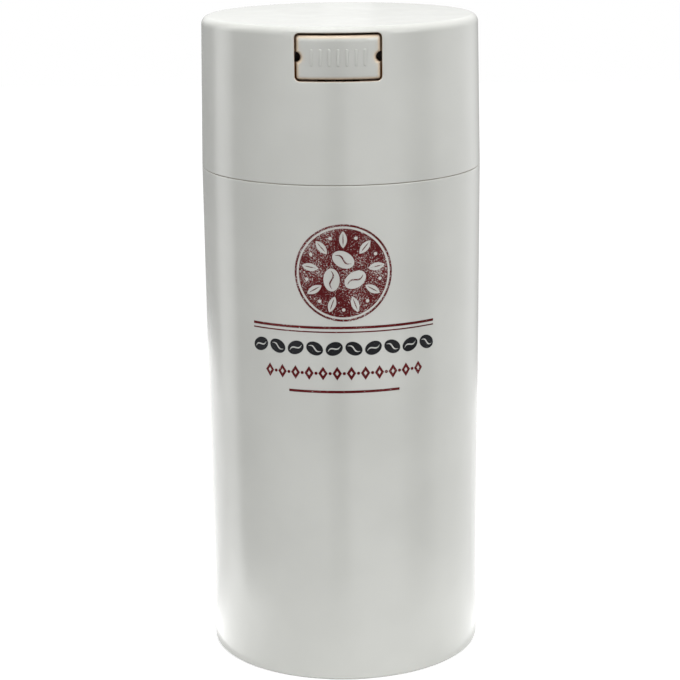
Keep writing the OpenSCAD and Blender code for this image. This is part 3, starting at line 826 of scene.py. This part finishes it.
work = bmesh.new()
rings = []
for k in range(10):
    t = math.radians(10 * k)
    share = 1 - math.sin(t)
    ring = button_ring(side_round * share, head_round * share, foot_round * share,
                       notch_r + side_round * share)
    rings.append([work.verts.new(on_face(x, z, round_depth * (1 - math.cos(t)))) for x, z in ring])
edge = button_ring(0, 0, 0, notch_r)
cavity = button_ring(button_wall, button_wall, button_wall, notch_r + 1.2)
rings.append([work.verts.new(on_wall(x, z, 0, round_depth + 0.5)) for x, z in edge])
rings += [[work.verts.new(Vector((x, -skirt_back, z)) * mm) for x, z in ring] for ring in (edge, cavity)]
rings.append([work.verts.new(on_wall(x, z, button_wall)) for x, z in cavity])
loft(work, rings)
area_fill(work, [front_view(rings[0])], [rings[0]], on_face, 1.6)
area_fill(work, [front_view(rings[-1])], [rings[-1]], lambda x, z: on_wall(x, z, button_wall), 1.6)
button_low, button_high = window_mid - button_h / 2, window_mid + button_h / 2
for side in (-1, 1):
    for low, high in ((button_low, window_mid - notch_r), (window_mid + notch_r, button_high)):
        wall_block(work, [side * (16.2 + 3.2 * k / 3) for k in range(4)], low, high, 2.55, 4.35)
    bar_back(work, 2.5, side * 11.3, window_mid, -55.65, 0.9)
    bar_back(work, 1.5, side * 11.3, window_mid, -52.65, 0.9)
flat_block(work, (-6, -58.2, 265), (6, -33.3, 269))
# The button's lacquer is a shade darker than the body's: partly its own tone and partly painted shade for the
# face's darker look beside the wall.
button_lacquer = lacquer("button_lacquer", tone=202)
button = made("button_moulding", work, button_lacquer)


def button_skin_and_light(p):
    """Lacquer covers the face, thins over its rounded edge and stops at the sides. The top flank in the gap above
    the face and the sides by the notches get a half value instead of bare plastic: painted light, a paler colour
    where they lie in shade.
    """
    across, up = abs(p.x), p.z - window_mid
    side = min(button_w / 2 - across, math.hypot(across - notch_x, up) - notch_r, button_h / 2 + up)
    inset = min(side, button_h / 2 - head_gap - up)
    depth = math.sqrt(cap_r(p.z) ** 2 - p.x ** 2) + p.y
    if depth > round_depth + 0.1:
        # Painted light: a paler half value on the top flank and the notch sides, which lie in shade
        painted_light_flank = inset < 0.1 and up > 0 and depth < round_depth + 2.5 or across > 14 and abs(up) < 3 and depth < 3
        return 0.5 if painted_light_flank else 0
    return 0.6 + 0.4 * min(1, max(0, inset / 1.6))


skin_by(button.data, button_skin_and_light)
belongs(button, "button", "shell", "press_button")

# Ribs on the button's face
grip_rings = []
work = bmesh.new()
for k in range(-1, 6):
    t = math.radians(17 * max(k, 0))
    r = 0.6 * math.cos(t)
    proud = 0.3 * math.sin(t) if k >= 0 else -0.2
    ring = []
    for i in range(24):
        a = math.tau * i / 24
        x = r * math.cos(a)
        z = window_mid + r * math.sin(a) + (2.9 if i < 12 else -2.9)
        ring.append(work.verts.new(on_face(0, z, -proud) + Vector((x, 0, 0)) * mm))
    grip_rings.append(ring)
loft(work, grip_rings)
work.faces.new(grip_rings[0])
work.faces.new(grip_rings[-1])
grips = grown(made("grip_ribs", work, None), ranged, count=7, start=-3 * 3.6 / 59.6, step=3.6 / 59.6,
              finish=button_lacquer, sharp=60)
skin_by(grips.data, lambda p: 1)
belongs(grips, "button", "shell")

# Button guide.
# Two brown plastic rails and a bridge that hold the button and its springs from behind. Its legs reach
# down into the inner cap's well, and a screw holds each leg's ear on a boss.


def moulded(name, colour, pale, rough):
    """Plain moulded plastic, a little uneven in tone and gloss."""
    finish = Finish(name, ior=1.5)
    cloud = finish.noise(18 * mm, 3)
    grain = finish.noise(0.6 * mm, 2)
    finish.paint(base_color=finish.mix(cloud.between(0.3, 0.7), colour, pale),
                 roughness=rough + finish.noise(5 * mm, 3).between(0.4, 0.8) * 0.08)
    finish.bump(grain, 0.008 * mm)
    return finish.material


def dress(node, finish):
    """Gives a CAD node its finish."""
    mesh = bpy.data.objects[node].data
    for i in range(len(mesh.materials)):
        mesh.materials[i] = finish
    if not mesh.materials:
        mesh.materials.append(finish)


brown_plastic = moulded("brown_plastic", rgb(84, 52, 30), rgb(92, 58, 34), 0.36)
dress("button_guide", brown_plastic)


def brushed(name, colour, rough, stretch):
    """Bright steel with fine marks along or round it."""
    finish = Finish(name, metallic=1.0)
    marks = finish.noise(0.25 * mm, 3, 0.6, stretch)
    finish.paint(base_color=finish.mix(marks.between(0.3, 0.7), colour, rgb(214, 213, 208)),
                 roughness=rough + marks * 0.1)
    finish.bump(marks, 0.004 * mm)
    return finish.material


screw_steel = brushed("screw_steel", rgb(196, 195, 190), 0.24, (1, 1, 5))
for node in ("guide_screw_left", "guide_screw_right"):
    dress(node, screw_steel)


def coil_tree():
    """Round wire on a helix up the Z axis whose first and last turns lie close, then turned and placed."""
    nodes = new_geometry_tree("coiled", [
        ("Turns", "Int", 7), ("Coil Radius", "Float", 0.002), ("Wire Radius", "Float", 0.0003),
        ("Length", "Float", 0.01), ("End Pitch", "Float", 0.001), ("Place", "Vector", None),
        ("Turned", "Vector", None), ("Finish", "Material", None)])
    given = {name: Value(nodes, nodes.given[name]) for name in (
        "Turns", "Coil Radius", "Wire Radius", "Length", "End Pitch")}
    steps = 28
    line = nodes.add("GeometryNodeMeshLine", {}, {"Count": given["Turns"] * steps + 1, "Offset": (0, 0, 0)})
    turn = nodes.value("GeometryNodeInputIndex") / steps
    wire, end, turns = given["Wire Radius"], given["End Pitch"], given["Turns"]
    middle = (given["Length"] - 2 * wire - 2 * end) / (turns - 2)
    rise = wire + turn.least(1) * end + (turn - 1).most(0).least(turns - 2) * middle \
        + (turn - turns + 1).most(0) * end
    angle = turn * math.tau
    reach = given["Coil Radius"] - wire
    place = nodes.add("ShaderNodeCombineXYZ", {}, {"X": reach * angle.cos(), "Y": reach * angle.sin(),
                                                   "Z": rise})
    helix = nodes.add("GeometryNodeSetPosition", {}, {"Geometry": line.outputs[0],
                                                      "Position": place.outputs[0]})
    curve = nodes.add("GeometryNodeMeshToCurve", {}, {0: helix.outputs[0]})
    section = nodes.add("GeometryNodeCurvePrimitiveCircle", {}, {"Resolution": 12, "Radius": wire})
    tube = nodes.add("GeometryNodeCurveToMesh", {}, {"Curve": curve.outputs[0],
                                                     "Profile Curve": section.outputs[0],
                                                     "Fill Caps": True})
    put = nodes.add("GeometryNodeTransform", {}, {"Geometry": tube.outputs[0],
                                                  "Translation": nodes.given["Place"],
                                                  "Rotation": nodes.given["Turned"]})
    return end_tree(nodes, put.outputs[0])


coiled = coil_tree()
spring_steel = brushed("spring_steel", rgb(186, 186, 182), 0.26, (2, 2, 2))


def sprung(name, body, node, joint, axis, anchor, keep, **sizes):
    """A coil spring on its body, standing for the node. The joint, axis, anchor and keep are not used."""
    spring = bpy.data.objects.new(name, bpy.data.meshes.new(name))
    bpy.context.scene.collection.objects.link(spring)
    grown(spring, coiled, finish=spring_steel, sharp=80, **sizes)
    belongs(spring, body, "steel", node)
    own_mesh(spring)


for side, name in ((-1, "left"), (1, "right")):
    sprung("coil_" + name, "cap", "button_spring_" + name, "button_press", (0, 1, 0),
           (side * 11.3 * mm, -41.1 * mm, window_mid * mm), 0.79, turns=7, coil_radius=2.5 * mm,
           wire_radius=0.3 * mm, length=14.5 * mm, end_pitch=0.95 * mm,
           place=(side * 11.3 * mm, -41.1 * mm, window_mid * mm), turned=(math.radians(90), 0, 0))

# Air valve.
# A silicone pad on the tail of an acetal lever covers the hole in the inner cap's floor. The lever rocks on
# a steel pin in two posts, and a spring under its other arm holds the pad shut.
acetal = moulded("ivory_acetal", rgb(222, 216, 198), rgb(229, 224, 208), 0.3)
dress("valve_lever", acetal)
dress("lever_pin", brushed("pin_steel", rgb(198, 197, 192), 0.18, (6, 1, 1)))


def rubber(name, colour, pale):
    """Soft silicone with a dry bloom."""
    finish = Finish(name, ior=1.43, sheen_weight=0.12, sheen_roughness=0.4)
    bloom = finish.noise(6 * mm, 4)
    finish.paint(base_color=finish.mix(bloom.between(0.35, 0.75), colour, pale),
                 roughness=0.46 + bloom * 0.12)
    finish.bump(finish.noise(0.35 * mm, 2), 0.01 * mm)
    return finish.material


grey_silicone = rubber("grey_silicone", rgb(88, 89, 90), rgb(100, 101, 102))
pad_outline = rounded_path([
    (0, 250.3), (5.2, 250.3, 0.3), (5.2, 252.3, 0.5), (1.6, 252.3, 0.3), (1.4, 255.7), (1.15, 255.8),
    (1.15, 258.3), (1.4, 258.32, 0.1), (1.15, 259.5, 0.2), (0.7, 259.9, 0.2), (0, 259.9)])
pad = grown(outline_object("pad_moulding", pad_outline), turned, segments=48, finish=grey_silicone)
pad.data.transform(Matrix.Translation((0, -42 * mm, 0)))
belongs(pad, "lever", "silicone", "valve_pad")
sprung("coil_valve", "cap", "valve_spring", "lever_rock", (0, 0, 1), (0, -23 * mm, 249.25 * mm), 0.52,
       turns=4, coil_radius=2.4 * mm, wire_radius=0.25 * mm, length=6.4 * mm, end_pitch=0.95 * mm,
       place=(0, -23 * mm, 249.25 * mm), turned=(0.0, 0, 0))

# Inner cap.
# A brown moulding whose flange snaps into the shell's groove and whose piston goes down the vessel's neck.
# Its well carries the valve and the button's guide.
dress("inner_cap", brown_plastic)

# Lip seal.
# A silicone band round the piston whose three thin lips lean up and wipe the vessel's bore.
lip_path = [(52.58, 248.7), (53.58, 248.7, 0.2)]
for i in range(3):
    root = 249.2 + 1.9 * i
    lip_path += [(53.58, root, 0.15), (54.83, root + 0.9, 0.15), (54.83, root + 1.3, 0.15),
                 (53.58, root + 1.0, 0.2)]
lip_path += [(53.58, 255.3, 0.2), (52.58, 255.3), (52.58, 248.7)]
seal = grown(outline_object("seal_moulding", rounded_path(lip_path, 30)), turned, segments=192,
             finish=grey_silicone)
belongs(seal, "cap", "silicone", "lip_seal")

# Stage.
# A plain pale floor under a white surround, with soft lamps above and at both sides. A screen that only
# gloss reflects stands round the front of the table, and gives the walls their soft upright streaks.
pale = Finish("pale_floor", roughness=0.9)
spot = pale.add("ShaderNodeSeparateXYZ", {}, {0: pale.place}).outputs
across, along = Value(pale, spot["X"]), Value(pale, spot["Y"])
near = along.between(-0.22, -0.16) * (1 - (across * across + along * along).between(0.3, 0.8))
pale.paint(base_color=pale.mix(near, rgb(100, 100, 100), rgb(226, 226, 226)))
ways = pale.add("ShaderNodeLightPath").outputs
seen = Value(pale, ways["Is Camera Ray"]).most(Value(pale, ways["Is Glossy Ray"])).most(
    Value(pale, ways["Is Transmission Ray"]))
white_light = pale.add("ShaderNodeEmission", {}, {"Color": (1, 1, 1, 1), "Strength": seen * (0.95 - near * 0.55)})
both = pale.add("ShaderNodeAddShader", {}, {0: pale.surface.outputs[0], 1: white_light.outputs[0]})
pale.add("ShaderNodeOutputMaterial", {"is_active_output": True}, {"Surface": both.outputs[0]})
floor_mesh = bpy.data.meshes.new("floor")
floor_mesh.from_pydata([(-2, -2, 0), (2, -2, 0), (2, 2, 0), (-2, 2, 0)], [], [(0, 1, 2, 3)])
floor = bpy.data.objects.new("floor", floor_mesh)
bpy.context.scene.collection.objects.link(floor)
floor_mesh.materials.append(pale.material)

# Soft boxes on the screen: where each starts and ends, in degrees round from the front, how soft those
# edges are, and how bright it is
boxes = ((-116, -82, 6, 4, 1.85), (-49, -8, 20, 5, 1.2), (4, 41, 3, 9, 1.35), (62, 142, 8, 16, 1.2))


def screen_glow(angle, height):
    """Brightness of the screen, which fades up from the table's at its foot to that of the boxes."""
    room = 0.4
    for start, end, soft_start, soft_end, bright in boxes:
        room += bright * ease(angle, start - soft_start, start + soft_start) * (
            1 - ease(angle, end - soft_end, end + soft_end))
    room += (1.25 - room) * ease(abs(angle), 110, 150) * ease(height, 0.25, 0.4)
    room += 0.5 * ease(-angle, 15, 35) * (1 - ease(-angle, 60, 80)) * (
        ease(height, 0.06, 0.1) * (1 - ease(height, 0.16, 0.2)))
    table = 1.3 + 1.95 * ease(-angle, 30, 75) * (1 - 0.85 * ease(-angle, 86, 116)) + (
        0.3 * ease(-angle, 106, 120)) + 0.85 * ease(angle, 40, 75) * (1 - 0.7 * ease(angle, 90, 116))
    return room + (table - room) * math.exp(-max(0, height) / 0.0155)


columns = range(-178, 179, 2)
points, glow = [], []
for share, height in ((0, 0), (0.1, 0), (0.25, 0), (0.45, 0), (0.7, 0), (1, 0), (1, 0.01), (1, 0.03), (1, 0.06),
                      (1, 0.1), (1, 0.16), (1, 0.25), (1, 0.4), (1, 1)):
    for angle in columns:
        a = math.radians(angle)
        edge = 0.12 + 0.42 * ease(-angle, 70, 145) + 0.3 * ease(angle, 92, 150)
        reach = 0.063 + (edge - 0.063) * share
        points.append((reach * math.sin(a), -reach * math.cos(a), height + 0.0005))
        glow.append(screen_glow(angle, height))
n = len(columns)
screen_mesh = bpy.data.meshes.new("screen")
screen_mesh.from_pydata(points, [], [(r * n + c, r * n + c + 1, (r + 1) * n + c + 1, (r + 1) * n + c)
                                     for r in range(len(points) // n - 1) for c in range(n - 1)])
screen_mesh.attributes.new("glow", "FLOAT", "POINT").data.foreach_set("value", glow)
screen = bpy.data.objects.new("screen", screen_mesh)
bpy.context.scene.collection.objects.link(screen)
for way in ("camera", "diffuse", "shadow", "transmission", "volume_scatter"):
    setattr(screen, "visible_" + way, False)
shown = Finish("screen_light")
shown_light = shown.value("ShaderNodeAttribute", {"attribute_name": "glow"}, {}, "Fac")
shown.add("ShaderNodeOutputMaterial", {"is_active_output": True}, {"Surface": shown.add(
    "ShaderNodeEmission", {}, {"Color": (1, 1, 1, 1), "Strength": shown_light}).outputs[0]})
screen_mesh.materials.append(shown.material)

for name, place, size, watts in (("lamp_above", (-0.08, -0.25, 1.15), 0.6, 6.2),
                                 ("lamp_before", (0.05, -1.2, 1.3), 0.8, 2.6),
                                 ("lamp_right", (1.55, -1.0, 1.15), 1.0, 11.2),
                                 ("lamp_left", (-1.4, -1.1, 1.05), 0.9, 3.0)):
    lamp = bpy.data.lights.new(name, "AREA")
    lamp.size = size
    lamp.energy = watts
    holder = bpy.data.objects.new(name, lamp)
    holder.location = place
    holder.rotation_euler = (Vector((0, 0, 0.14)) - Vector(place)).to_track_quat("-Z", "Y").to_euler()
    bpy.context.scene.collection.objects.link(holder)

world = bpy.data.worlds.new("surround")
bpy.context.scene.world = world
world.use_nodes = True
air = Tree(world.node_tree)
ways = air.add("ShaderNodeLightPath").outputs
seen = Value(air, ways["Is Camera Ray"]).most(Value(air, ways["Is Glossy Ray"])).most(
    Value(air, ways["Is Transmission Ray"]))
air.add("ShaderNodeOutputWorld", {}, {"Surface": air.add("ShaderNodeBackground", {}, {
    "Color": (1, 1, 1, 1), "Strength": 0.455 + seen * 0.545}).outputs[0]})

bpy.context.scene.view_settings.view_transform = "Standard"
